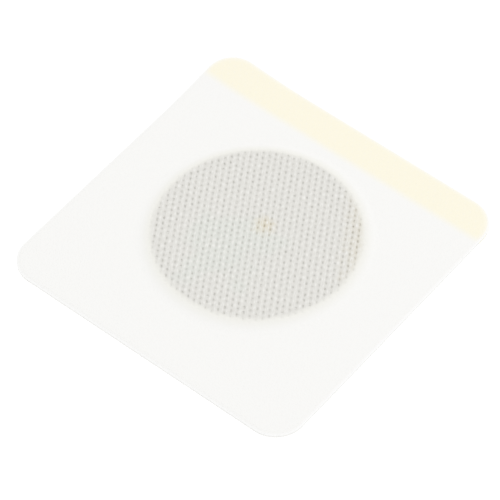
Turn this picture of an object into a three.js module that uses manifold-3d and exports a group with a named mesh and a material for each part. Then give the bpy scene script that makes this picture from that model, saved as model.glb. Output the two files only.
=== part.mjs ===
// A square transdermal patch, lying with its skin side down: an openwork cloth with an adhesive coat,
// draped over a round medicated pad, on release paper with a separate pull strip along one edge.
// Millimetres, +Z up. The origin is the middle of the square at the underside of the release paper,
// and the pull strip lies along the +Y edge.
import * as THREE from "three";
import { mergeVertices } from "three/addons/utils/BufferGeometryUtils.js";
import Module from "manifold-3d";

const wasm = await Module();
wasm.setup();

// Outline of the patch
const SHEET_SIDE = 70;
const CORNER_RADIUS = 6.5;

// Thicknesses, from the bottom up
const PAPER_THICKNESS = 0.12;
const PAD_THICKNESS = 1.15;
const ADHESIVE_THICKNESS = 0.15;
const CLOTH_THICKNESS = 0.5;

// Release paper
const PULL_STRIP_WIDTH = 7.8;
const SLIT_WIDTH = 0.2;

// Medicated pad, which lies a little off the middle, towards the pull strip
const PAD_DIAMETER = 42;
const PAD_OFFSET = 1;
const PAD_EDGE_ROUNDING = 0.8;

// Slope of the cloth from the pad down to the margins: it starts this far inside the pad's edge
const DRAPE_INSET = 0.4;
const DRAPE_RUN = 3.5;

// Edge of the cloth, which the cutting die presses down
const EDGE_PINCH = 0.3;
const EDGE_RUN = 0.9;

// Openwork over the pad, knitted in staggered rows, with its openings at over twice their real pitch
const OPENING_PITCH = 3.44;
const ROW_PITCH = 2.81;
const OPENING_WIDTH = 1.1;
const OPENING_LENGTH = 1.35;
const YARN_RIDGE = 0.16;
const NET_BORDER = 0.25;

// Fineness of the faceted forms
const ROUND_SEGMENTS = 72;
const CORNER_SEGMENTS = 8;
const DRAPE_STEPS = 5;
const EDGE_STEPS = 4;
const POINT_GRID = 1e-4;
const INWARD_BOW = 1e-5;

const padRadius = PAD_DIAMETER / 2;
const drapeStart = padRadius - DRAPE_INSET;

const FINISHES = {
  cloth: { color: 0xf7f6f2, roughness: 0.95, metalness: 0 },
  adhesive: { color: 0xf1efe6, roughness: 0.35, metalness: 0 },
  pad: { color: 0xc9c8c2, roughness: 0.9, metalness: 0 },
  whitePaper: { color: 0xf6f5f1, roughness: 0.6, metalness: 0 },
  creamPaper: { color: 0xf9f3d6, roughness: 0.6, metalness: 0 },
};

// A layer seen from above, as points joined by triangles. Regions that meet share their points, so
// that a layer raised from the plan is one closed body.
class Plan {
  points = [];
  triangles = [];
  #known = new Map();

  // The number of the point at x, y. Its top lies lower than the layer's by sink. A third of a grid
  // step keeps places worked out from round sizes clear of the line between two squares.
  point(x, y, sink = 0) {
    const key = [x, y].map((place) => Math.floor(place / POINT_GRID + 1 / 3)).join(",");
    if (!this.#known.has(key)) {
      this.#known.set(key, this.points.length);
      this.points.push({ x, y, sink });
    }
    return this.#known.get(key);
  }

  // A ring of points about the pad's middle.
  circle(radius) {
    return Array.from({ length: ROUND_SEGMENTS }, (_, step) => {
      const turn = (2 * Math.PI * step) / ROUND_SEGMENTS;
      return this.point(radius * Math.cos(turn), PAD_OFFSET + radius * Math.sin(turn));
    });
  }

  // The strip between two loops of equally many points, both counterclockwise.
  band(outer, inner) {
    outer.forEach((corner, i) => {
      const next = (i + 1) % outer.length;
      this.triangles.push([corner, outer[next], inner[next]], [corner, inner[next], inner[i]]);
    });
  }

  // The area inside one loop and outside the others. Its points are drawn in a little, the more the
  // further out they lie, so that none is passed over for lying in a line with its neighbours.
  region(outer, ...holes) {
    const place = (number) => {
      const { x, y } = this.points[number];
      const fromMiddle = new THREE.Vector2(x, y - PAD_OFFSET);
      return fromMiddle.multiplyScalar(1 - INWARD_BOW * fromMiddle.lengthSq());
    };
    const numbers = [outer, ...holes].flat();
    const [rim, ...cuts] = [outer, ...holes].map((loop) => loop.map(place));
    for (const corners of THREE.ShapeUtils.triangulateShape(rim, cuts)) {
      const [a, b, c] = corners.map((corner) => numbers[corner]);
      const upwards = THREE.ShapeUtils.area([a, b, c].map(place)) > 0;
      this.triangles.push(upwards ? [a, b, c] : [a, c, b]);
    }
  }

  // The edges that only one triangle uses, each in that triangle's direction.
  openEdges() {
    const edges = this.triangles.flatMap(([a, b, c]) => [[a, b], [b, c], [c, a]]);
    const used = new Set(edges.map(([from, to]) => `${from},${to}`));
    return edges.filter(([from, to]) => !used.has(`${to},${from}`));
  }

  // The outer border of what is in the plan so far, leaving out the rims of openings.
  border() {
    const outer = this.openEdges().filter(([from]) => this.points[from].sink === 0);
    const following = new Map(outer);
    const loop = [outer[0][0]];
    while (following.get(loop.at(-1)) !== loop[0]) loop.push(following.get(loop.at(-1)));
    return loop;
  }
}

// The rounded square that every layer is cut to, or one that lies inside it by inset.
function sheetShape(inset = 0) {
  const straight = SHEET_SIDE / 2 - CORNER_RADIUS;
  const radius = CORNER_RADIUS - inset;
  const shape = new THREE.Shape();
  const corners = [[1, -1], [1, 1], [-1, 1], [-1, -1]];
  corners.forEach(([sideX, sideY], quarter) => {
    const start = (quarter - 1) * (Math.PI / 2);
    shape.absarc(sideX * straight, sideY * straight, radius, start, start + Math.PI / 2);
  });
  return shape;
}

// How far the pad lifts the layers above it at a place.
function drapeHeight({ x, y }) {
  const outwards = (Math.hypot(x, y - PAD_OFFSET) - drapeStart) / DRAPE_RUN;
  return PAD_THICKNESS * (1 - THREE.MathUtils.smoothstep(outwards, 0, 1));
}

// The yarn border round an opening: the corners that it shares with the openings beside it, each
// followed by the middle of the side to the next corner.
function yarnBorder(middle) {
  const spread = OPENING_PITCH ** 2 / (8 * ROW_PITCH);
  const half = OPENING_PITCH / 2;
  const near = ROW_PITCH / 2 - spread;
  const far = ROW_PITCH / 2 + spread;
  const corners = [[0, far], [-half, near], [-half, -near], [0, -far], [half, -near], [half, near]];
  return corners.flatMap(([x, y], corner) => {
    const [nextX, nextY] = corners[(corner + 1) % corners.length];
    const sideMiddle = { x: middle.x + (x + nextX) / 2, y: middle.y + (y + nextY) / 2 };
    return [{ x: middle.x + x, y: middle.y + y }, sideMiddle];
  });
}

// One knitted opening: its yarn border, shared with the openings round it, slopes down to its rim.
function addOpening(plan, middle) {
  const border = yarnBorder(middle);
  const rim = border.map((_, step) => {
    const turn = Math.PI / 2 + (2 * Math.PI * step) / border.length;
    const x = middle.x + (OPENING_WIDTH / 2) * Math.cos(turn);
    const y = middle.y + (OPENING_LENGTH / 2) * Math.sin(turn);
    return plan.point(x, y, YARN_RIDGE);
  });
  plan.band(border.map(({ x, y }) => plan.point(x, y)), rim);
}

// The staggered rows of openings that fit whole on the flat of the pad.
function addNet(plan) {
  const reach = drapeStart - NET_BORDER;
  const rows = Math.ceil(reach / ROW_PITCH);
  const columns = Math.ceil(reach / OPENING_PITCH);
  for (let row = -rows; row <= rows; row++) {
    const stagger = row % 2 === 0 ? 0 : OPENING_PITCH / 2;
    for (let column = -columns; column <= columns; column++) {
      const middle = { x: column * OPENING_PITCH + stagger, y: PAD_OFFSET + row * ROW_PITCH };
      const fits = yarnBorder(middle).every(({ x, y }) => Math.hypot(x, y - PAD_OFFSET) <= reach);
      if (fits) addOpening(plan, middle);
    }
  }
}

// A plan of a whole sheet that drapes over the pad. The cloth is knitted: it has the openwork, and an
// edge that is pressed down. The adhesive coat has neither.
function drapedPlan(knitted) {
  const plan = new Plan();
  if (knitted) addNet(plan);
  const netBorder = knitted ? [plan.border()] : [];
  const rings = Array.from({ length: DRAPE_STEPS + 1 }, (_, step) =>
    plan.circle(drapeStart + (DRAPE_RUN * step) / DRAPE_STEPS),
  );
  plan.region(rings[0], ...netBorder);
  rings.slice(1).forEach((ring, step) => plan.band(ring, rings[step]));
  const loop = (inset, sink) => {
    const corners = sheetShape(inset).getPoints(CORNER_SEGMENTS);
    return corners.map(({ x, y }) => plan.point(x, y, sink));
  };
  const flat = loop(EDGE_RUN, 0);
  plan.region(flat, rings.at(-1));
  plan.band(loop(0, knitted ? EDGE_PINCH : 0), flat);
  return plan;
}

// The closed body of a draped layer, with a wall down each open edge of its plan.
function drapedGeometry(plan, thickness) {
  const count = plan.points.length;
  const top = plan.points.map((point) => [
    point.x,
    point.y,
    drapeHeight(point) + thickness - point.sink,
  ]);
  const bottom = plan.points.map((point) => [point.x, point.y, drapeHeight(point)]);
  const faces = plan.triangles.flatMap(([a, b, c]) => [a, b, c, c + count, b + count, a + count]);
  const walls = plan
    .openEdges()
    .flatMap(([a, b]) => [a + count, b + count, b, a + count, b, a]);
  const geometry = new THREE.BufferGeometry();
  const positions = new Float32Array([...top, ...bottom].flat());
  geometry.setAttribute("position", new THREE.BufferAttribute(positions, 3));
  geometry.setIndex([...faces, ...walls]);
  geometry.computeVertexNormals();
  return geometry;
}

// The pad: a disc with its upper edge rounded.
function padGeometry() {
  const rounding = Math.min(PAD_EDGE_ROUNDING, PAD_THICKNESS);
  const profile = [new THREE.Vector2(0, 0), new THREE.Vector2(padRadius, 0)];
  for (let step = 0; step <= EDGE_STEPS; step++) {
    const turn = ((Math.PI / 2) * step) / EDGE_STEPS;
    const radius = padRadius - rounding * (1 - Math.cos(turn));
    profile.push(new THREE.Vector2(radius, PAD_THICKNESS - rounding * (1 - Math.sin(turn))));
  }
  profile.push(new THREE.Vector2(0, PAD_THICKNESS));
  return new THREE.LatheGeometry(profile, ROUND_SEGMENTS).rotateX(Math.PI / 2);
}

// A closed geometry as a solid that can be cut.
function solidOf(geometry) {
  geometry.deleteAttribute("normal");
  geometry.deleteAttribute("uv");
  const merged = mergeVertices(geometry);
  const vertProperties = merged.attributes.position.array;
  const triVerts = new Uint32Array(merged.index.array);
  return new wasm.Manifold(new wasm.Mesh({ numProp: 3, vertProperties, triVerts }));
}

// A cut solid as a geometry.
function geometryOf(solid) {
  const { vertProperties, triVerts } = solid.getMesh();
  const geometry = new THREE.BufferGeometry();
  geometry.setAttribute("position", new THREE.BufferAttribute(vertProperties, 3));
  geometry.setIndex(new THREE.BufferAttribute(triVerts, 1));
  geometry.computeVertexNormals();
  return geometry;
}

// The release paper between two lines across the patch.
function paperGeometry(fromY, toY) {
  const options = { depth: PAPER_THICKNESS, bevelEnabled: false, curveSegments: CORNER_SEGMENTS };
  const sheet = solidOf(new THREE.ExtrudeGeometry(sheetShape(), options));
  const keep = new THREE.BoxGeometry(2 * SHEET_SIDE, toY - fromY, 2 * PAPER_THICKNESS);
  keep.translate(0, (fromY + toY) / 2, PAPER_THICKNESS / 2);
  return geometryOf(sheet.intersect(solidOf(keep)));
}

function piece(name, geometry, finish, height = 0) {
  const mesh = new THREE.Mesh(geometry, new THREE.MeshStandardMaterial(finish));
  mesh.name = name;
  mesh.position.z = height;
  return mesh;
}

// The paper on which the patch is stored, in two leaves that part at a slit.
function releasePaper() {
  const slitMiddle = SHEET_SIDE / 2 - PULL_STRIP_WIDTH;
  const liner = paperGeometry(-SHEET_SIDE, slitMiddle - SLIT_WIDTH / 2);
  const strip = paperGeometry(slitMiddle + SLIT_WIDTH / 2, SHEET_SIDE);
  return new THREE.Group().add(
    piece("release_liner", liner, FINISHES.whitePaper),
    piece("pull_strip", strip, FINISHES.creamPaper),
  );
}

// The pad with the coated cloth that holds it, laid on the release paper.
function dressing() {
  const pad = piece("drug_pad", padGeometry(), FINISHES.pad);
  pad.position.y = PAD_OFFSET;
  const coat = drapedGeometry(drapedPlan(false), ADHESIVE_THICKNESS);
  const cloth = drapedGeometry(drapedPlan(true), CLOTH_THICKNESS);
  const group = new THREE.Group().add(
    pad,
    piece("adhesive_layer", coat, FINISHES.adhesive),
    piece("backing_cloth", cloth, FINISHES.cloth, ADHESIVE_THICKNESS),
  );
  group.position.z = PAPER_THICKNESS;
  return group;
}

const patch = new THREE.Group().add(releasePaper(), dressing());

export default patch;
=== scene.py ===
"""The looks of a square transdermal patch that lies cloth side up on its release paper.

An openwork knit covers the whole patch. It is open over the round medicated pad, which shows
through as a grey dotted disc, and filled with adhesive in the margins. A cream pull strip of
release paper shows through along the +Y edge. Metres, +Z up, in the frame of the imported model.
"""

from __future__ import annotations

import logging
import math
from dataclasses import dataclass
from enum import Enum
from typing import Callable, Sequence

import bmesh
import bpy
from mathutils import Matrix, Vector, noise

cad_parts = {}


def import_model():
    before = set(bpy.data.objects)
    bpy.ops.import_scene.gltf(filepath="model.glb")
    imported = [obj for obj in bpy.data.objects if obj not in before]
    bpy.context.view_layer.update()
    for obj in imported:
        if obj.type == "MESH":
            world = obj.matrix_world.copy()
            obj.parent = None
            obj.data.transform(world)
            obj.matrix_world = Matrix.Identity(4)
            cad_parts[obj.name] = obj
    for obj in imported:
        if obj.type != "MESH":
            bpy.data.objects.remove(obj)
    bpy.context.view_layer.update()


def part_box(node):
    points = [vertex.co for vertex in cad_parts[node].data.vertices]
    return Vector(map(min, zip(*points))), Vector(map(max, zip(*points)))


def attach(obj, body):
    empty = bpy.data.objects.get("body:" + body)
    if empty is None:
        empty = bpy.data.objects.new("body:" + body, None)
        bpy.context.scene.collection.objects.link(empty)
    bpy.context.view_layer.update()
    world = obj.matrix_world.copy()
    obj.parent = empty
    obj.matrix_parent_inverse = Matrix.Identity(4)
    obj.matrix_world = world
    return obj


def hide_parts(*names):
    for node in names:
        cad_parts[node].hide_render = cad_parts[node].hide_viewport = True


log = logging.getLogger("transdermal_patch")

MM = 0.001
BODY = "root"
CORNER = 6.5 * MM
SHARP_ANGLE = math.radians(50)
Colour = tuple[float, float, float, float]


def srgb(red: float, green: float, blue: float) -> Colour:
    """The linear colour of three screen levels from 0 to 255, with an alpha of 1.

    Args:
        red: The red level.
        green: The green level.
        blue: The blue level.

    Returns:
        The linear colour.
    """
    levels = (level / 255 for level in (red, green, blue))
    linear = [v / 12.92 if v <= 0.04045 else ((v + 0.055) / 1.055) ** 2.4 for v in levels]
    return (*linear, 1.0)


class Value:
    """A number that varies over a surface, carried by an output socket of a node."""

    def __init__(self, graph: Graph, socket: bpy.types.NodeSocket) -> None:
        """Wraps a socket of the graph."""
        self.graph = graph
        self.socket = socket

    def _maths(self, operation: str, *terms: Value | float) -> Value:
        """One Math node on this value's graph."""
        return self.graph.node("ShaderNodeMath", {"operation": operation}, dict(enumerate(terms)))

    def __add__(self, other: Value | float) -> Value:
        """The sum."""
        return self._maths("ADD", self, other)

    def __sub__(self, other: Value | float) -> Value:
        """The difference."""
        return self._maths("SUBTRACT", self, other)

    def __rsub__(self, other: float) -> Value:
        """The difference from a plain number."""
        return self._maths("SUBTRACT", other, self)

    def __mul__(self, other: Value | float) -> Value:
        """The product."""
        return self._maths("MULTIPLY", self, other)

    def __truediv__(self, other: Value | float) -> Value:
        """The quotient."""
        return self._maths("DIVIDE", self, other)

    __radd__ = __add__
    __rmul__ = __mul__

    def over(self, other: Value | float) -> Value:
        """The larger of two values."""
        return self._maths("MAXIMUM", self, other)

    def under(self, other: Value) -> Value:
        """The smaller of two values."""
        return self._maths("MINIMUM", self, other)

    def root(self) -> Value:
        """The square root."""
        return self._maths("SQRT", self)

    def size(self) -> Value:
        """The value without its sign."""
        return self._maths("ABSOLUTE", self)

    def sine(self) -> Value:
        """The sine of the value in radians."""
        return self._maths("SINE", self)

    def wave(self) -> Value:
        """A wave from 0 to 1 that repeats whenever the value grows by 1."""
        return (self * (2 * math.pi)).sine() * 0.5 + 0.5

    def fraction(self) -> Value:
        """What is left over a whole number."""
        return self._maths("FRACT", self)

    def rise(self, low: float, high: float) -> Value:
        """A smooth step from 0 below low to 1 above high.

        Args:
            low: The value up to which the step is 0.
            high: The value from which it is 1.

        Returns:
            The step.
        """
        settings = {"interpolation_type": "SMOOTHSTEP"}
        limits = {"Value": self, "From Min": low, "From Max": high}
        return self.graph.node("ShaderNodeMapRange", settings, limits)


class Graph:
    """A material's nodes, ending in one Principled shader."""

    def __init__(self, name: str, constants: dict[str, float | Colour]) -> None:
        """Starts a material whose shader has the given constant inputs.

        Args:
            name: The material's name.
            constants: The shader's inputs that don't vary.
        """
        self.material = bpy.data.materials.new(name)
        self.material.use_nodes = True
        self.tree = self.material.node_tree
        self.tree.nodes.clear()
        self.shader = self.tree.nodes.new("ShaderNodeBsdfPrincipled")
        output = self.tree.nodes.new("ShaderNodeOutputMaterial")
        self.tree.links.new(self.shader.outputs["BSDF"], output.inputs["Surface"])
        for socket, value in constants.items():
            self.shader.inputs[socket].default_value = value

    def node(self, kind: str, settings: dict, inputs: dict, output: str | int = 0) -> Value:
        """Adds a node.

        Args:
            kind: The node's type name.
            settings: Its own options, which are set first.
            inputs: Values or links by the name or number of its input sockets.
            output: The output socket to wrap.

        Returns:
            The wrapped output.
        """
        made = self.tree.nodes.new(kind)
        for option, choice in settings.items():
            setattr(made, option, choice)
        for socket, value in inputs.items():
            self.feed(made.inputs[socket], value)
        return Value(self, made.outputs[output])

    def feed(self, socket: bpy.types.NodeSocket, value: Value | float | Sequence[float]) -> None:
        """Links a wrapped value to an input socket, or sets the socket to a constant.

        Args:
            socket: The input socket.
            value: What it gets.
        """
        if isinstance(value, Value):
            self.tree.links.new(value.socket, socket)
        else:
            socket.default_value = value

    def place(self) -> Value:
        """The point on the surface in its object's frame, in millimetres."""
        point = self.node("ShaderNodeTexCoord", {}, {}, "Object")
        return self.vector("SCALE", {0: point, "Scale": 1 / MM})

    def vector(self, operation: str, inputs: dict, output: str | int = 0) -> Value:
        """One Vector Math node."""
        return self.node("ShaderNodeVectorMath", {"operation": operation}, inputs, output)

    def along(self, point: Value, axis: str) -> Value:
        """One coordinate of a point, by its letter."""
        return self.node("ShaderNodeSeparateXYZ", {}, {0: point}, axis)

    def distance(self, point: Value, middle: tuple[float, float]) -> Value:
        """How far a point lies from a middle, seen from above, in millimetres."""
        flat = self.stretched(point, (1, 1, 0))
        return self.vector("DISTANCE", {0: flat, 1: (*middle, 0.0)}, "Value")

    def mottle(self, point: Value, scale: float, detail: float = 2.0) -> Value:
        """Soft noise from 0 to 1, with scale features to the millimetre."""
        inputs = {"Vector": point, "Scale": scale, "Detail": detail}
        return self.node("ShaderNodeTexNoise", {}, inputs)

    def stretched(self, point: Value, factors: tuple[float, float, float]) -> Value:
        """A point with its coordinates scaled apart, to draw out a pattern."""
        return self.vector("MULTIPLY", {0: point, 1: factors})

    def mix(self, base: Value | Colour, top: Value | Colour, share: Value | float) -> Value:
        """A colour that goes from base to top as share goes from 0 to 1."""
        settings = {"data_type": "RGBA", "clamp_factor": True}
        return self.node("ShaderNodeMix", settings, {0: share, 6: base, 7: top}, 2)

    def finish(self, colour: Value, height: Value | None = None, depth: float = 0.0) -> None:
        """Feeds the shader.

        Args:
            colour: The base colour.
            height: A relief from 0 to 1, if the surface has one.
            depth: The relief's full depth in metres.
        """
        self.feed(self.shader.inputs["Base Color"], colour)
        if height is not None:
            bump = self.node("ShaderNodeBump", {}, {"Distance": depth, "Height": height}, "Normal")
            self.feed(self.shader.inputs["Normal"], bump)


@dataclass(frozen=True)
class Drape:
    """How the layers lie over the pad, in metres.

    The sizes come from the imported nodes. The cloth starts to slope a little inside the pad's edge.
    """

    side: float
    corner: float
    pad_radius: float
    pad_offset: float
    pad_thickness: float
    paper: float
    adhesive: float
    cloth: float
    slit: float
    inset: float = 0.4 * MM
    run: float = 3.5 * MM
    curl_reach: float = 13.0 * MM
    curl_height: float = 1.2 * MM
    pinch: float = 0.28 * MM
    pinch_run: float = 0.9 * MM
    swell: float = 0.24 * MM
    swell_out: float = 0.6 * MM
    swell_run: float = 0.3 * MM

    @classmethod
    def from_frame(cls) -> Drape:
        """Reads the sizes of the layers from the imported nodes.

        Returns:
            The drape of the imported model.
        """
        liner_low, liner_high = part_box("release_liner")
        strip_low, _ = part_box("pull_strip")
        pad_low, pad_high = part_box("drug_pad")
        _, coat_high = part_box("adhesive_layer")
        cloth_low, cloth_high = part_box("backing_cloth")
        return cls(
            side=cloth_high.x - cloth_low.x,
            corner=CORNER,
            pad_radius=(pad_high.x - pad_low.x) / 2,
            pad_offset=(pad_high.y + pad_low.y) / 2,
            pad_thickness=pad_high.z - pad_low.z,
            paper=liner_high.z - liner_low.z,
            adhesive=coat_high.z - pad_high.z,
            cloth=cloth_high.z - coat_high.z,
            slit=(liner_high.y + strip_low.y) / 2,
        )

    def from_pad(self, point: Vector) -> float:
        """How far a point lies from the pad's middle, seen from above."""
        return math.hypot(point.x, point.y - self.pad_offset)

    def lift(self, point: Vector) -> float:
        """How far the pad lifts the layers above it at a point.

        Args:
            point: A point on the layer.

        Returns:
            The lift in metres.
        """
        outwards = (self.from_pad(point) - self.pad_radius + self.inset) / self.run
        step = min(max(outwards, 0.0), 1.0)
        return self.pad_thickness * (1 - step * step * (3 - 2 * step))

    def curl(self, point: Vector) -> float:
        """How far the corner at -X, +Y has curled up off the table at a point.

        Args:
            point: A point on the layer.

        Returns:
            The height in metres, 0 away from that corner.
        """
        straight = self.side / 2 - self.corner
        tip = straight * math.sqrt(2) + self.corner
        inwards = tip - (point.y - point.x) / math.sqrt(2)
        share = max(0.0, 1 - inwards / self.curl_reach)
        return self.curl_height * share * share

    def from_edge(self, point: Vector) -> float:
        """How far inside the patch's outline a point lies, seen from above.

        Args:
            point: A point on the layer.

        Returns:
            The distance in metres, below 0 outside.
        """
        straight = self.side / 2 - self.corner
        across, along = abs(point.x) - straight, abs(point.y) - straight
        beyond = math.hypot(max(across, 0.0), max(along, 0.0))
        return self.corner - beyond - min(max(across, along), 0.0)

    def pinched(self, point: Vector) -> float:
        """How far the die that cut the patch has pressed the cloth's top down at a point."""
        share = min(max(1 - self.from_edge(point) / self.pinch_run, 0.0), 1.0)
        return self.pinch * share * share

    def swollen(self, point: Vector) -> float:
        """How far the adhesive swells up into the cloth over the pad at a point."""
        inwards = (self.pad_radius + self.swell_out - self.from_pad(point)) / self.swell_run
        return self.swell * min(max(inwards, 0.0), 1.0)


def new_piece(
    name: str, bm: bmesh.types.BMesh, materials: Sequence[bpy.types.Material]
) -> bpy.types.Object:
    """Turns a bmesh into a smooth-shaded object in the scene, with sharp edges kept sharp.

    Args:
        name: The object's name.
        bm: The mesh, which is freed.
        materials: Its finishes, in the order of the faces' material numbers.

    Returns:
        The object.
    """
    mesh = bpy.data.meshes.new(name)
    bm.to_mesh(mesh)
    bm.free()
    for material in materials:
        mesh.materials.append(material)
    mesh.shade_smooth()
    mesh.set_sharp_from_angle(angle=SHARP_ANGLE)
    piece = bpy.data.objects.new(name, mesh)
    bpy.context.scene.collection.objects.link(piece)
    log.info("%s: %d faces", name, len(mesh.polygons))
    return piece


@dataclass
class Sheet:
    """A layer that is cut to the patch's rounded square and laid over the pad."""

    drape: Drape
    corner_facets: int = 10
    weld: float = 0.003 * MM

    def grid(self, cell: float) -> bmesh.types.BMesh:
        """A flat square grid that covers the patch, with cells of about the given size.

        Args:
            cell: The side of a cell in metres.

        Returns:
            The grid.
        """
        bm = bmesh.new()
        cells = round(self.drape.side / cell)
        bmesh.ops.create_grid(bm, x_segments=cells, y_segments=cells, size=self.drape.side / 2)
        return bm

    def cut(self, bm: bmesh.types.BMesh, point: Vector, outwards: Vector) -> None:
        """Cuts away what lies beyond a plane.

        Args:
            bm: The mesh to cut.
            point: A point on the plane.
            outwards: The plane's normal, towards what is cut away.
        """
        geometry = bm.verts[:] + bm.edges[:] + bm.faces[:]
        plane = {"plane_co": point, "plane_no": outwards}
        bmesh.ops.bisect_plane(bm, geom=geometry, clear_outer=True, **plane)

    def cut_to_outline(self, bm: bmesh.types.BMesh) -> None:
        """Cuts a flat sheet to the rounded square, side by side and corner by corner.

        Args:
            bm: The flat sheet.
        """
        straight = self.drape.side / 2 - self.drape.corner
        for quarter in range(4):
            turn = Matrix.Rotation(quarter * math.pi / 2, 3, "Z")
            middle = turn @ Vector((straight, straight, 0))
            for facet in range(self.corner_facets):
                angle = (math.pi / 2) * facet / self.corner_facets
                outwards = turn @ Vector((math.cos(angle), math.sin(angle), 0))
                self.cut(bm, middle + outwards * self.drape.corner, outwards)
        bmesh.ops.remove_doubles(bm, verts=bm.verts, dist=self.weld)
        bmesh.ops.dissolve_degenerate(bm, edges=bm.edges, dist=self.weld)

    def thicken(self, bm: bmesh.types.BMesh, underside: Callable[[Vector], float]) -> None:
        """Closes a sheet downwards.

        Args:
            bm: The upper face of the sheet, already in place.
            underside: The height of the lower face at a point.
        """
        made = bmesh.ops.extrude_face_region(bm, geom=bm.faces[:], use_keep_orig=True)
        for vert in made["geom"]:
            if isinstance(vert, bmesh.types.BMVert):
                vert.co.z = underside(vert.co)
        bmesh.ops.recalc_face_normals(bm, faces=bm.faces[:])


class Cell(Enum):
    """What the openings of the knit hold."""

    THREAD = 0
    FILLED = 1


@dataclass(frozen=True)
class Knit:
    """The stitch pattern of the openwork cloth, in metres.

    An opening and the yarns round it repeat along each row, and every other row is shifted by half
    a pitch. The wales run slantwise across the rows, and the openings are drawn out along them.
    """

    pitch: float = 1.462 * MM
    row: float = 1.193 * MM
    shoulder_scale: float = 0.62
    shoulder_depth: float = 0.04 * MM
    opening_width: float = 0.31 * MM
    opening_length: float = 0.58 * MM
    opening_depth: float = 0.17 * MM
    sway: float = 0.1 * MM
    sway_scale: float = 0.75
    sway_seed: int = 12

    def wale(self) -> Vector:
        """The step along a wale from one opening to the next."""
        return Vector((-self.pitch / 2, self.row, 0))


@dataclass
class OpenworkCloth(Sheet):
    """The white knit that covers the patch, open over the pad and filled elsewhere."""

    knit: Knit = Knit()
    margin_relief: float = 0.06
    relief_fade: float = 1.0 * MM
    open_inset: float = 0.1 * MM
    join: float = 0.02 * MM

    def cell(self, bm: bmesh.types.BMesh, middle: Vector) -> None:
        """Adds one stitch cell: a yarn hexagon that steps down to a small opening.

        Args:
            bm: The mesh to add to.
            middle: The middle of the cell.
        """
        knit = self.knit
        spread = Matrix.Diagonal((knit.pitch / math.sqrt(3), knit.row * 2 / 3, 1, 1))
        place = Matrix.Translation(middle) @ spread
        made = bmesh.ops.create_circle(bm, cap_ends=True, segments=6, radius=1, matrix=place)
        floor = made["verts"][0].link_faces[0]
        border = [vert.co - middle for vert in floor.verts]
        narrow = knit.opening_width / knit.pitch
        slender = knit.opening_length / knit.opening_width
        draw_out = Matrix.Scale(slender, 3, knit.wale().normalized())
        rings = (
            (Matrix.Scale(knit.shoulder_scale, 3), knit.shoulder_depth),
            (draw_out @ Matrix.Scale(narrow, 3), knit.opening_depth),
        )
        for shape, depth in rings:
            bmesh.ops.inset_individual(bm, faces=[floor], thickness=knit.sway)
            for vert, corner in zip(floor.verts, border):
                vert.co = middle + shape @ corner
                vert.co.z = -depth
        floor.material_index = Cell.FILLED.value

    def repeat(self, bm: bmesh.types.BMesh, step: Vector, copies: int) -> None:
        """Repeats all that a bmesh holds, a step apart each time.

        Args:
            bm: The mesh.
            step: The way from one copy to the next.
            copies: How many there are in the end, with the first.
        """
        source = bm.verts[:] + bm.edges[:] + bm.faces[:]
        for copy in range(1, copies):
            made = bmesh.ops.duplicate(bm, geom=source)["geom"]
            verts = [item for item in made if isinstance(item, bmesh.types.BMVert)]
            bmesh.ops.translate(bm, verts=verts, vec=step * copy)

    def knitted(self) -> bmesh.types.BMesh:
        """A flat stretch of the knit, larger than the patch, with its yarns swaying a little.

        Returns:
            The knit, with its openings still closed.
        """
        knit = self.knit
        bm = bmesh.new()
        columns = math.ceil(self.drape.side / 2 / knit.pitch) + 1
        rows = math.ceil(self.drape.side / 4 / knit.row) + 1
        start = Vector((-columns * knit.pitch, self.drape.pad_offset - 2 * rows * knit.row, 0))
        self.cell(bm, start)
        self.cell(bm, start + Vector((knit.pitch / 2, knit.row, 0)))
        self.repeat(bm, Vector((knit.pitch, 0, 0)), 2 * columns + 1)
        self.repeat(bm, Vector((0, 2 * knit.row, 0)), 2 * rows + 1)
        bmesh.ops.remove_doubles(bm, verts=bm.verts, dist=self.join)
        noise.seed_set(knit.sway_seed)
        for vert in bm.verts:
            offset = noise.noise_vector(vert.co * (knit.sway_scale / MM))
            vert.co += Vector((offset.x, offset.y, 0)) * knit.sway
        return bm

    def round_out(self, face: bmesh.types.BMFace) -> None:
        """Gives a six-sided opening twelve sides.

        Args:
            face: The face that closes the opening.
        """
        middle = face.calc_center_median()
        for edge in face.edges[:]:
            _, vert = bmesh.utils.edge_split(edge, edge.verts[0], 0.5)
            vert.co.xy = (middle + (vert.co - middle) / math.cos(math.pi / 6)).xy

    def relief(self, point: Vector) -> float:
        """The share of the knit's relief that the adhesive leaves at a point.

        Args:
            point: A point on the layer.

        Returns:
            The share, from the least in the margins to 1 over the pad.
        """
        outwards = (self.drape.from_pad(point) - self.drape.pad_radius) / self.relief_fade
        step = min(max(outwards, 0.0), 1.0)
        return 1 - (1 - self.margin_relief) * step

    def build(self, materials: Sequence[bpy.types.Material]) -> bpy.types.Object:
        """Args:
            materials: The finishes of the thread and of the filled openings.

        Returns:
            The object.
        """
        drape = self.drape
        bm = self.knitted()
        self.cut_to_outline(bm)
        reach = drape.pad_radius - drape.inset - self.open_inset
        over_pad = [
            face
            for face in bm.faces
            if face.material_index == Cell.FILLED.value
            and drape.from_pad(face.calc_center_median()) < reach
        ]
        for face in over_pad:
            self.round_out(face)
        bmesh.ops.delete(bm, geom=over_pad, context="FACES_ONLY")
        base = drape.paper + drape.adhesive
        for vert in bm.verts:
            top = base + drape.cloth + drape.lift(vert.co) + drape.curl(vert.co)
            vert.co.z = top - drape.pinched(vert.co) + vert.co.z * self.relief(vert.co)

        def underside(point: Vector) -> float:
            """The height of the cloth's underside, hollowed where the coat swells into it."""
            return base + drape.lift(point) + drape.curl(point) + drape.swollen(point)

        self.thicken(bm, underside)
        cloth = new_piece("openwork_cloth", bm, materials)
        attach(cloth, BODY)
        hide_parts("backing_cloth")
        return cloth


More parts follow.
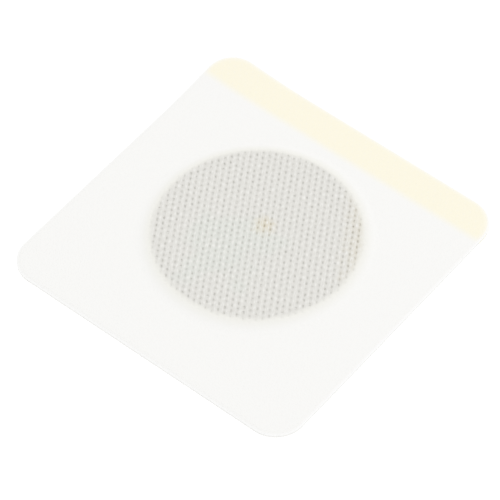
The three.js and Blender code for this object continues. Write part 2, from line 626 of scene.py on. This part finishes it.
@dataclass
class AdhesiveCoat(Sheet):
    """The tacky coat under the cloth."""

    cell_size: float = 0.6 * MM
    play: float = 0.004 * MM

    def build(self, material: bpy.types.Material) -> bpy.types.Object:
        """Makes the coat, just clear of the cloth above and the pad below.

        Args:
            material: Its finish.

        Returns:
            The object.
        """
        drape = self.drape
        bm = self.grid(self.cell_size)
        self.cut_to_outline(bm)
        top = drape.paper + drape.adhesive - self.play
        bottom = drape.paper + self.play
        for vert in bm.verts:
            vert.co.z = top + drape.lift(vert.co) + drape.curl(vert.co) + drape.swollen(vert.co)
        self.thicken(bm, lambda point: bottom + drape.lift(point) + drape.curl(point))
        coat = new_piece("adhesive_coat", bm, [material])
        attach(coat, BODY)
        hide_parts("adhesive_layer")
        return coat


@dataclass
class ReleasePaper(Sheet):
    """The paper under the patch, in two leaves that part at a slit."""

    cell_size: float = 1.6 * MM
    slit_width: float = 0.2 * MM

    def leaf(
        self, name: str, node: str, slot: str, side: int, material: bpy.types.Material
    ) -> bpy.types.Object:
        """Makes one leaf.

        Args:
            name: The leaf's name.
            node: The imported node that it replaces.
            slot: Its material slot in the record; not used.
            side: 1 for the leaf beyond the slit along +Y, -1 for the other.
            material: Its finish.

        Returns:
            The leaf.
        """
        drape = self.drape
        bm = self.grid(self.cell_size)
        self.cut_to_outline(bm)
        edge = Vector((0, drape.slit + side * self.slit_width / 2, 0))
        self.cut(bm, edge, Vector((0, -side, 0)))
        for vert in bm.verts:
            vert.co.z = drape.paper + drape.curl(vert.co)
        self.thicken(bm, drape.curl)
        leaf = new_piece(name, bm, [material])
        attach(leaf, BODY)
        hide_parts(node)
        return leaf


@dataclass
class MedicatedPad:
    """The round soaked pad between the cloth and the paper."""

    drape: Drape
    turns: int = 96
    rings: int = 20
    edge_steps: int = 5
    rounding: float = 0.8 * MM
    play: float = 0.01 * MM
    waviness: float = 0.03 * MM
    wave_scale: float = 0.5
    weld: float = 0.001 * MM
    fill: float = 0.2

    def profile(self) -> list[Vector]:
        """Half of the pad's section, from the middle of its top round to the middle of its base.

        Returns:
            The points of the section, in the XZ plane.
        """
        drape = self.drape
        flat = drape.pad_radius - self.rounding
        top = drape.paper + drape.pad_thickness - self.play
        points = [Vector((flat * ring / self.rings, 0, top)) for ring in range(self.rings)]
        for step in range(self.edge_steps + 1):
            turn = (math.pi / 2) * step / self.edge_steps
            drop = self.rounding * (1 - math.cos(turn))
            points.append(Vector((flat + self.rounding * math.sin(turn), 0, top - drop)))
        base = drape.paper + self.play
        points.append(Vector((drape.pad_radius, 0, base)))
        points.append(Vector((0, 0, base)))
        return points

    def build(self, material: bpy.types.Material) -> bpy.types.Object:
        """Makes the pad by turning its section, with a faint waviness on its top.

        Args:
            material: Its finish.

        Returns:
            The object.
        """
        drape = self.drape
        bm = bmesh.new()
        verts = [bm.verts.new(point) for point in self.profile()]
        edges = [bm.edges.new(pair) for pair in zip(verts, verts[1:])]
        turning = {"cent": (0, 0, 0), "axis": (0, 0, 1), "angle": 2 * math.pi, "steps": self.turns}
        bmesh.ops.spin(bm, geom=verts + edges, use_merge=True, **turning)
        bmesh.ops.remove_doubles(bm, verts=bm.verts, dist=self.weld)
        bmesh.ops.translate(bm, verts=bm.verts, vec=(0, drape.pad_offset, 0))
        for vert in bm.verts:
            wave = 0.5 + noise.noise(vert.co * (self.wave_scale / MM)) / 2
            share = (vert.co.z - drape.paper) / drape.pad_thickness
            vert.co.z -= self.waviness * wave * share
        bmesh.ops.recalc_face_normals(bm, faces=bm.faces[:])
        pad = new_piece("medicated_pad", bm, [material])
        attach(pad, BODY)
        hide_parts("drug_pad")
        return pad


@dataclass(frozen=True)
class Undertone:
    """The colours that show through the cloth: the papers, the pad and its stains. Millimetres.

    A wobble is how far soft noise moves the edge of a patch of colour to and fro. Painted shade
    rings the pad where the cloth slopes off it, and painted light pales the cloth at its cut edge.
    """

    drape: Drape
    blotches: float = 0.35
    white: Colour = srgb(249.5, 249, 247)
    # edge is painted light: the cloth and the cream strip pale to near white towards the cut edge
    edge: Colour = srgb(254, 254, 253)
    edge_light_reach: float = 1.5
    edge_light_width: float = 0.6
    strip: Colour = srgb(253.5, 248.5, 229)
    strip_blur: float = 1.2
    strip_wobble: float = 0.2
    strip_fade: float = -1.0
    # slope_shade is painted shade, slightly yellowish, where the cloth slopes down off the pad
    slope_shade: Colour = srgb(243.5, 242.5, 236.5)
    slope_shade_overlap: float = 0.2
    slope_shade_reach: float = 2.4
    pad_warm: Colour = srgb(228, 226.5, 221.5)
    pad_cool: Colour = srgb(225.5, 227, 221)
    pad_wobble: float = 0.5
    pad_fade: tuple[float, float] = (-0.85, 0.45)
    soaked_from: tuple[float, float] = (0.5, -5.5)
    soaked_reach: float = 13.0
    soaked_fade: tuple[float, float] = (0.3, 0.9)
    soaked_blotches: float = 0.14
    soaked_wobble: float = 2.4
    tan: Colour = srgb(228, 221, 202)
    tan_blotches: float = 0.6
    spot: tuple[float, float] = (-0.1, 2.5)
    spot_core: float = 0.4
    spot_radius: float = 3.2
    spot_wobble: float = 2.4
    spot_share: float = 0.8
    rim_turn: float = math.radians(34)
    rim_from: float = 15.5
    rim_fade: float = 6.0
    rim_wobble: float = 6.0
    rim_share: float = 0.45

    def uneven(self, graph: Graph, point: Value, scale: float, detail: float = 2.0) -> Value:
        """Soft noise from -0.5 to 0.5, with scale features to the millimetre."""
        return graph.mottle(point, scale, detail) - 0.5

    def from_pad(self, graph: Graph, point: Value) -> Value:
        """How far a point lies from the pad's middle."""
        return graph.distance(point, (0.0, self.drape.pad_offset / MM))

    def from_edge(self, graph: Graph, point: Value) -> Value:
        """How far inside the patch's outline a point lies.

        Args:
            graph: The material's graph.
            point: The point on the surface, in millimetres.

        Returns:
            The distance in millimetres.
        """
        straight = (self.drape.side / 2 - self.drape.corner) / MM
        across = graph.along(point, "X").size() - straight
        along = graph.along(point, "Y").size() - straight
        out_x, out_y = across.over(0.0), along.over(0.0)
        beyond = (out_x * out_x + out_y * out_y).root()
        return self.drape.corner / MM - beyond - across.over(along).under(0.0)

    def on_pad(self, graph: Graph, point: Value) -> Value:
        """The pad's share of the colour at a point.

        Args:
            graph: The material's graph.
            point: The point on the surface, in millimetres.

        Returns:
            The share, from 0 in the margins to 1 over the pad.
        """
        low, high = (self.drape.pad_radius / MM + offset for offset in self.pad_fade)
        wobble = self.uneven(graph, point, self.blotches) * self.pad_wobble
        return 1 - (self.from_pad(graph, point) + wobble).rise(low, high)

    def stained(self, graph: Graph, point: Value) -> Value:
        """How tanned the pad is at a point, from 0 to 1.

        Args:
            graph: The material's graph.
            point: The point on the surface, in millimetres.

        Returns:
            The share of tan.
        """
        uneven = self.uneven(graph, point, self.tan_blotches)
        offset = self.drape.pad_offset / MM
        from_spot = graph.distance(point, (self.spot[0], self.spot[1] + offset))
        spot_reach = from_spot + uneven * self.spot_wobble
        spot = (1 - spot_reach.rise(self.spot_core, self.spot_radius)) * self.spot_share
        x = graph.along(point, "X")
        y = graph.along(point, "Y") - offset
        facing = x * math.cos(self.rim_turn) + y * math.sin(self.rim_turn)
        rim_reach = facing + uneven * self.rim_wobble
        rim = rim_reach.rise(self.rim_from, self.rim_from + self.rim_fade)
        return spot.over(rim * self.rim_share)

    def margin(self, graph: Graph, point: Value) -> Value:
        """The colour of the cloth that lies on the paper, with painted shade round the pad and
        painted light at the cut edge, before the pad is added.

        Args:
            graph: The material's graph.
            point: The point on the surface, in millimetres.

        Returns:
            The colour.
        """
        slit = self.drape.slit / MM
        radius = self.drape.pad_radius / MM
        wobble = self.uneven(graph, point, self.blotches) * self.strip_wobble
        place = graph.along(point, "Y") + wobble
        on_strip = place.rise(slit - self.strip_blur, slit + self.strip_blur)
        reach = self.from_pad(graph, point)
        # painted shade in a ring round the pad
        slope_shade_share = 1 - reach.rise(radius - self.slope_shade_overlap, radius + self.slope_shade_reach)
        inside = self.from_edge(graph, point)
        # painted light: the cream strip pales towards the cut edge
        cream = graph.mix(self.edge, self.strip, inside.rise(self.strip_fade, self.edge_light_reach))
        base = graph.mix(self.white, cream, on_strip)
        base = graph.mix(base, self.slope_shade, slope_shade_share)
        # painted light: the cloth pales to near white at the cut edge
        return graph.mix(self.edge, base, inside.rise(0.0, self.edge_light_width))

    def padded(self, graph: Graph, point: Value) -> Value:
        """The colour of the cloth that lies on the pad.

        Args:
            graph: The material's graph.
            point: The point on the surface, in millimetres.

        Returns:
            The colour.
        """
        middle = (self.soaked_from[0], self.soaked_from[1] + self.drape.pad_offset / MM)
        wobble = self.uneven(graph, point, self.soaked_blotches, 1.0) * self.soaked_wobble
        reach = graph.distance(point, middle) / self.soaked_reach + wobble
        soaked = graph.mix(self.pad_warm, self.pad_cool, 1 - reach.rise(*self.soaked_fade))
        return graph.mix(soaked, self.tan, self.stained(graph, point))

    def colour(self, graph: Graph, point: Value) -> Value:
        """The cloth's colour at a point in millimetres."""
        margin, padded = self.margin(graph, point), self.padded(graph, point)
        return graph.mix(margin, padded, self.on_pad(graph, point))


@dataclass(frozen=True)
class ClothFinish:
    """Matt white yarn that takes up the colour of what lies under it, with painted shade along the
    openings over the pad and painted highlights on the yarns beside them.
    """

    under: Undertone
    knit: Knit
    shade: Colour = srgb(206, 205, 199)
    shade_share: float = 0.06
    # pale is a painted highlight on the yarns beside each opening over the pad
    pale: Colour = srgb(241, 240, 236)
    highlight_band: tuple[float, float] = (0.1, 0.7)
    strand_rate: float = 5.0
    strand_draw: float = 1.2
    strand_fade: tuple[float, float] = (0.35, 0.7)
    stitch_lag: float = 0.19
    stitch_share: float = 0.6
    loop_slant: float = 1.4
    loop_share: float = 0.45
    fuzz_scale: float = 14.0
    fuzz_draw: float = 0.5
    relief_depth: float = 0.02 * MM

    def count(self, graph: Graph, point: Value, x_rate: float, y_rate: float) -> Value:
        """A count that grows by the given rates to the metre, from 0 at the pad's middle."""
        y = graph.along(point, "Y") - self.under.drape.pad_offset / MM
        return graph.along(point, "X") * (x_rate * MM) + y * (y_rate * MM)

    def across_wales(self, graph: Graph, point: Value) -> Value:
        """A count of the wales, whole along the openings and a half between them."""
        return self.count(graph, point, 1 / self.knit.pitch, 0.5 / self.knit.row)

    def along_wales(self, graph: Graph, point: Value) -> Value:
        """A count of the stitches along a wale."""
        wale = self.knit.wale()
        return self.count(graph, point, wale.x / wale.length_squared, wale.y / wale.length_squared)

    def wales(self, graph: Graph, point: Value) -> Value:
        """A wave from 0 along the openings to 1 along the yarns between them."""
        return (self.across_wales(graph, point) - 0.25).wave()

    def stitches(self, graph: Graph, point: Value) -> Value:
        """A wave from 0 to 1 that repeats at each opening along a wale."""
        return (self.along_wales(graph, point) + self.stitch_lag).wave()

    def strands(self, graph: Graph, point: Value) -> Value:
        """Fine uneven strands that run along the wales, from 0 to 1.

        Args:
            graph: The material's graph.
            point: The point on the surface, in millimetres.

        Returns:
            The strands' brightness.
        """
        across = self.across_wales(graph, point) * self.strand_rate
        along = self.along_wales(graph, point) * self.strand_draw
        drawn = graph.node("ShaderNodeCombineXYZ", {}, {0: across, 1: along})
        return graph.mottle(drawn, 1.0, 1.0).rise(*self.strand_fade)

    def relief(self, graph: Graph, point: Value) -> Value:
        """Loops in chevrons along the wales and the fuzz of the fibres, from 0 to 1.

        Args:
            graph: The material's graph.
            point: The point on the surface, in millimetres.

        Returns:
            The height of the relief.
        """
        slant = (self.across_wales(graph, point).fraction() - 0.5).size() * self.loop_slant
        loops = (self.along_wales(graph, point) * 2.0 + slant).wave()
        drawn = graph.stretched(point, (1.0, self.fuzz_draw, 1.0))
        fuzz = graph.mottle(drawn, self.fuzz_scale, 3.0)
        return loops * self.loop_share + fuzz * (1 - self.loop_share)

    def build(self) -> bpy.types.Material:
        """Makes the material.

        Returns:
            The material.
        """
        graph = Graph("knit_yarn", {"Roughness": 0.95, "Specular IOR Level": 0.2})
        point = graph.place()
        on_pad = self.under.on_pad(graph, point)
        wales = self.wales(graph, point)
        shade_share = (1 - wales) * on_pad * self.shade_share
        shaded = graph.mix(self.under.colour(graph, point), self.shade, shade_share)
        stitches = self.stitches(graph, point) * self.stitch_share + (1 - self.stitch_share)
        # painted highlights along the yarns beside the openings, broken up by uneven strands
        lit = wales.rise(*self.highlight_band) * stitches * self.strands(graph, point)
        colour = graph.mix(shaded, self.pale, lit * on_pad)
        graph.finish(colour, self.relief(graph, point), self.relief_depth)
        return graph.material


@dataclass(frozen=True)
class FilledFinish:
    """The adhesive that fills the openings of the margins and shows the paper under it."""

    under: Undertone
    shade: Colour = srgb(200, 199, 192)
    shade_share: float = 0.7
    cloudy: Colour = srgb(246, 245, 242)
    cloud_scale: float = 2.0
    cloud_share: float = 0.3
    relief_scale: float = 6.0
    relief_depth: float = 0.005 * MM

    def build(self) -> bpy.types.Material:
        """Makes the material.

        Returns:
            The material.
        """
        graph = Graph("filled_openings", {"Roughness": 0.7, "Specular IOR Level": 0.2})
        point = graph.place()
        base = self.under.colour(graph, point)
        clouds = graph.mottle(point, self.cloud_scale) * self.cloud_share
        clouded = graph.mix(base, self.cloudy, clouds)
        shaded = self.under.on_pad(graph, point) * self.shade_share
        colour = graph.mix(clouded, self.shade, shaded)
        graph.finish(colour, graph.mottle(point, self.relief_scale), self.relief_depth)
        return graph.material


@dataclass(frozen=True)
class CoatFinish:
    """Tacky acrylic, milky at its cut edge and clouded by the pad that it lies on."""

    under: Undertone
    milky: Colour = srgb(252, 251, 248)
    grey: Colour = srgb(228, 227, 221)
    pale: Colour = srgb(251, 250, 246)
    tan: Colour = srgb(218, 206, 180)
    opacity: float = 0.85
    fibre_scale: float = 0.8
    fibre_fade: tuple[float, float] = (0.3, 0.7)
    relief_scale: float = 4.0
    relief_depth: float = 0.01 * MM

    def build(self) -> bpy.types.Material:
        """Makes the material.

        Returns:
            The material.
        """
        graph = Graph("acrylic_coat", {"Roughness": 0.5, "Specular IOR Level": 0.2})
        point = graph.place()
        on_pad = self.under.on_pad(graph, point)
        graph.feed(graph.shader.inputs["Alpha"], 1 - on_pad * (1 - self.opacity))
        fibres = graph.mottle(point, self.fibre_scale, 3.0).rise(*self.fibre_fade)
        felt = graph.mix(self.grey, self.pale, fibres)
        felt = graph.mix(felt, self.tan, self.under.stained(graph, point))
        colour = graph.mix(self.milky, felt, on_pad)
        graph.finish(colour, graph.mottle(point, self.relief_scale), self.relief_depth)
        return graph.material


@dataclass(frozen=True)
class PadFinish:
    """A grey fibre felt, soaked and tanned in places."""

    under: Undertone
    grey: Colour = srgb(222, 221, 215)
    pale: Colour = srgb(238, 237, 231)
    tan: Colour = srgb(214, 202, 176)
    fibre_scale: float = 5.0
    fibre_draw: float = 0.25
    relief_depth: float = 0.08 * MM

    def build(self) -> bpy.types.Material:
        """Makes the material.

        Returns:
            The material.
        """
        graph = Graph("soaked_felt", {"Roughness": 0.9, "Specular IOR Level": 0.2})
        point = graph.place()
        drawn = graph.stretched(point, (1.0, self.fibre_draw, 1.0))
        fibres = graph.mottle(drawn, self.fibre_scale, 4.0)
        felt = graph.mix(self.grey, self.pale, fibres)
        colour = graph.mix(felt, self.tan, self.under.stained(graph, point))
        graph.finish(colour, fibres, self.relief_depth)
        return graph.material


@dataclass(frozen=True)
class PaperFinish:
    """Smooth siliconised paper with a faint cloudiness of fibres."""

    name: str
    light: Colour
    cloudy: Colour
    cloud_scale: float = 0.45
    fibre_scale: float = 7.0
    fibre_draw: float = 0.4
    relief_depth: float = 0.006 * MM

    def build(self) -> bpy.types.Material:
        """Makes the material.

        Returns:
            The material.
        """
        gloss = {"Roughness": 0.45, "Coat Weight": 0.15, "Coat Roughness": 0.35}
        graph = Graph(self.name, gloss)
        point = graph.place()
        clouds = graph.mottle(point, self.cloud_scale, 4.0)
        drawn = graph.stretched(point, (self.fibre_draw, 1.0, 1.0))
        fibres = graph.mottle(drawn, self.fibre_scale, 3.0)
        colour = graph.mix(self.light, self.cloudy, clouds * 0.5 + fibres * 0.5)
        graph.finish(colour, fibres, self.relief_depth)
        return graph.material


@dataclass(frozen=True)
class Studio:
    """A white table under soft light, seen as the photograph shows it, in metres and degrees."""

    azimuth: float = 40.01
    elevation: float = 52.61
    roll: float = -1.23
    distance: float = 691.4 * MM
    aim: tuple[float, float, float] = (0.67 * MM, -1.98 * MM, 0.0)
    focal_pixels: float = 3514.0
    picture_pixels: float = 500.0
    sensor: float = 36.0
    clip_start: float = 0.01
    sky: float = 0.952
    lamp_turn: float = 60.0
    lamp_height: float = 48.0
    lamp_distance: float = 0.9
    lamp_size: float = 0.45
    lamp_power: float = 0.5
    floor_size: float = 3.0
    floor_drop: float = 0.01 * MM
    floor_white: float = 0.9
    floor_glow: float = 0.3

    def camera(self) -> None:
        """Sets up the camera at the photograph's viewing angle."""
        degrees = (self.azimuth, self.elevation, self.roll)
        azimuth, elevation, roll = (math.radians(angle) for angle in degrees)
        flat = math.cos(elevation)
        back = Vector((math.sin(azimuth) * flat, -math.cos(azimuth) * flat, math.sin(elevation)))
        right = (-back).cross(Vector((0, 0, 1))).normalized()
        right = Matrix.Rotation(roll, 3, back) @ right
        up = back.cross(right)
        turn = Matrix((right, up, back)).transposed().to_4x4()
        data = bpy.data.cameras.new("camera")
        data.sensor_width = self.sensor
        data.lens = self.sensor * self.focal_pixels / self.picture_pixels
        data.clip_start = self.clip_start
        camera = bpy.data.objects.new("camera", data)
        camera.matrix_world = Matrix.Translation(Vector(self.aim) + back * self.distance) @ turn
        bpy.context.scene.collection.objects.link(camera)
        bpy.context.scene.camera = camera

    def lamp(self) -> None:
        """Adds the soft lamp that shapes the slope round the pad."""
        data = bpy.data.lights.new("soft_lamp", "AREA")
        data.shape = "DISK"
        data.size = self.lamp_size
        data.energy = self.lamp_power
        turn, height = math.radians(self.lamp_turn), math.radians(self.lamp_height)
        flat = math.cos(height)
        direction = Vector((math.cos(turn) * flat, math.sin(turn) * flat, math.sin(height)))
        lamp = bpy.data.objects.new("soft_lamp", data)
        lamp.location = direction * self.lamp_distance
        lamp.rotation_euler = direction.to_track_quat("Z", "Y").to_euler()
        bpy.context.scene.collection.objects.link(lamp)

    def world(self) -> None:
        """Lights the object evenly, and shows plain white to the camera and in reflections."""
        world = bpy.data.worlds.new("studio")
        world.use_nodes = True
        tree = world.node_tree
        tree.nodes.clear()
        output = tree.nodes.new("ShaderNodeOutputWorld")
        mix = tree.nodes.new("ShaderNodeMixShader")
        tree.links.new(self.seen(tree), mix.inputs[0])
        for place, strength in enumerate((self.sky, 1.0), start=1):
            light = tree.nodes.new("ShaderNodeBackground")
            light.inputs["Color"].default_value = (1, 1, 1, 1)
            light.inputs["Strength"].default_value = strength
            tree.links.new(light.outputs[0], mix.inputs[place])
        tree.links.new(mix.outputs[0], output.inputs["Surface"])
        bpy.context.scene.world = world

    def seen(self, tree: bpy.types.NodeTree) -> bpy.types.NodeSocket:
        """A socket that is 1 for camera, glossy and transmission rays and 0 for others.

        Args:
            tree: The nodes to add it to.

        Returns:
            The socket.
        """
        path = tree.nodes.new("ShaderNodeLightPath")
        socket = path.outputs["Is Camera Ray"]
        for kind in ("Is Glossy Ray", "Is Transmission Ray"):
            either = tree.nodes.new("ShaderNodeMath")
            either.operation = "MAXIMUM"
            tree.links.new(socket, either.inputs[0])
            tree.links.new(path.outputs[kind], either.inputs[1])
            socket = either.outputs[0]
        return socket

    def floor(self) -> None:
        """Adds the white table, which keeps the patch's faint shadow."""
        bm = bmesh.new()
        bmesh.ops.create_grid(bm, x_segments=1, y_segments=1, size=self.floor_size / 2)
        bmesh.ops.translate(bm, verts=bm.verts, vec=(0, 0, -self.floor_drop))
        material = bpy.data.materials.new("white_table")
        material.use_nodes = True
        tree = material.node_tree
        shader = tree.nodes["Principled BSDF"]
        shader.inputs["Base Color"].default_value = (*[self.floor_white] * 3, 1)
        shader.inputs["Roughness"].default_value = 1.0
        shader.inputs["Specular IOR Level"].default_value = 0.0
        shader.inputs["Emission Color"].default_value = (1, 1, 1, 1)
        glow = tree.nodes.new("ShaderNodeMath")
        glow.operation = "MULTIPLY"
        glow.inputs[1].default_value = self.floor_glow
        tree.links.new(self.seen(tree), glow.inputs[0])
        tree.links.new(glow.outputs[0], shader.inputs["Emission Strength"])
        floor = new_piece("white_table", bm, [material])

    def build(self) -> None:
        """Sets up the camera, the lights and the table."""
        bpy.context.scene.view_settings.view_transform = "Standard"
        self.camera()
        self.lamp()
        self.world()
        self.floor()


def main() -> None:
    """Builds the studio and the patch's layers from the table up."""
    logging.basicConfig(level=logging.INFO, format="%(name)s: %(message)s")
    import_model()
    drape = Drape.from_frame()
    Studio().build()
    papers = ReleasePaper(drape)
    white = PaperFinish("white_release_paper", srgb(252, 251.5, 248.5), srgb(247, 246, 242))
    papers.leaf("white_leaf", "release_liner", "liner_paper", -1, white.build())
    cream = PaperFinish("cream_release_paper", srgb(250, 242, 208), srgb(246, 236, 196))
    papers.leaf("cream_leaf", "pull_strip", "strip_paper", 1, cream.build())
    under = Undertone(drape)
    MedicatedPad(drape).build(PadFinish(under).build())
    AdhesiveCoat(drape).build(CoatFinish(under).build())
    cloth = OpenworkCloth(drape)
    cloth.build([ClothFinish(under, cloth.knit).build(), FilledFinish(under).build()])


if __name__ == "__main__":
    main()
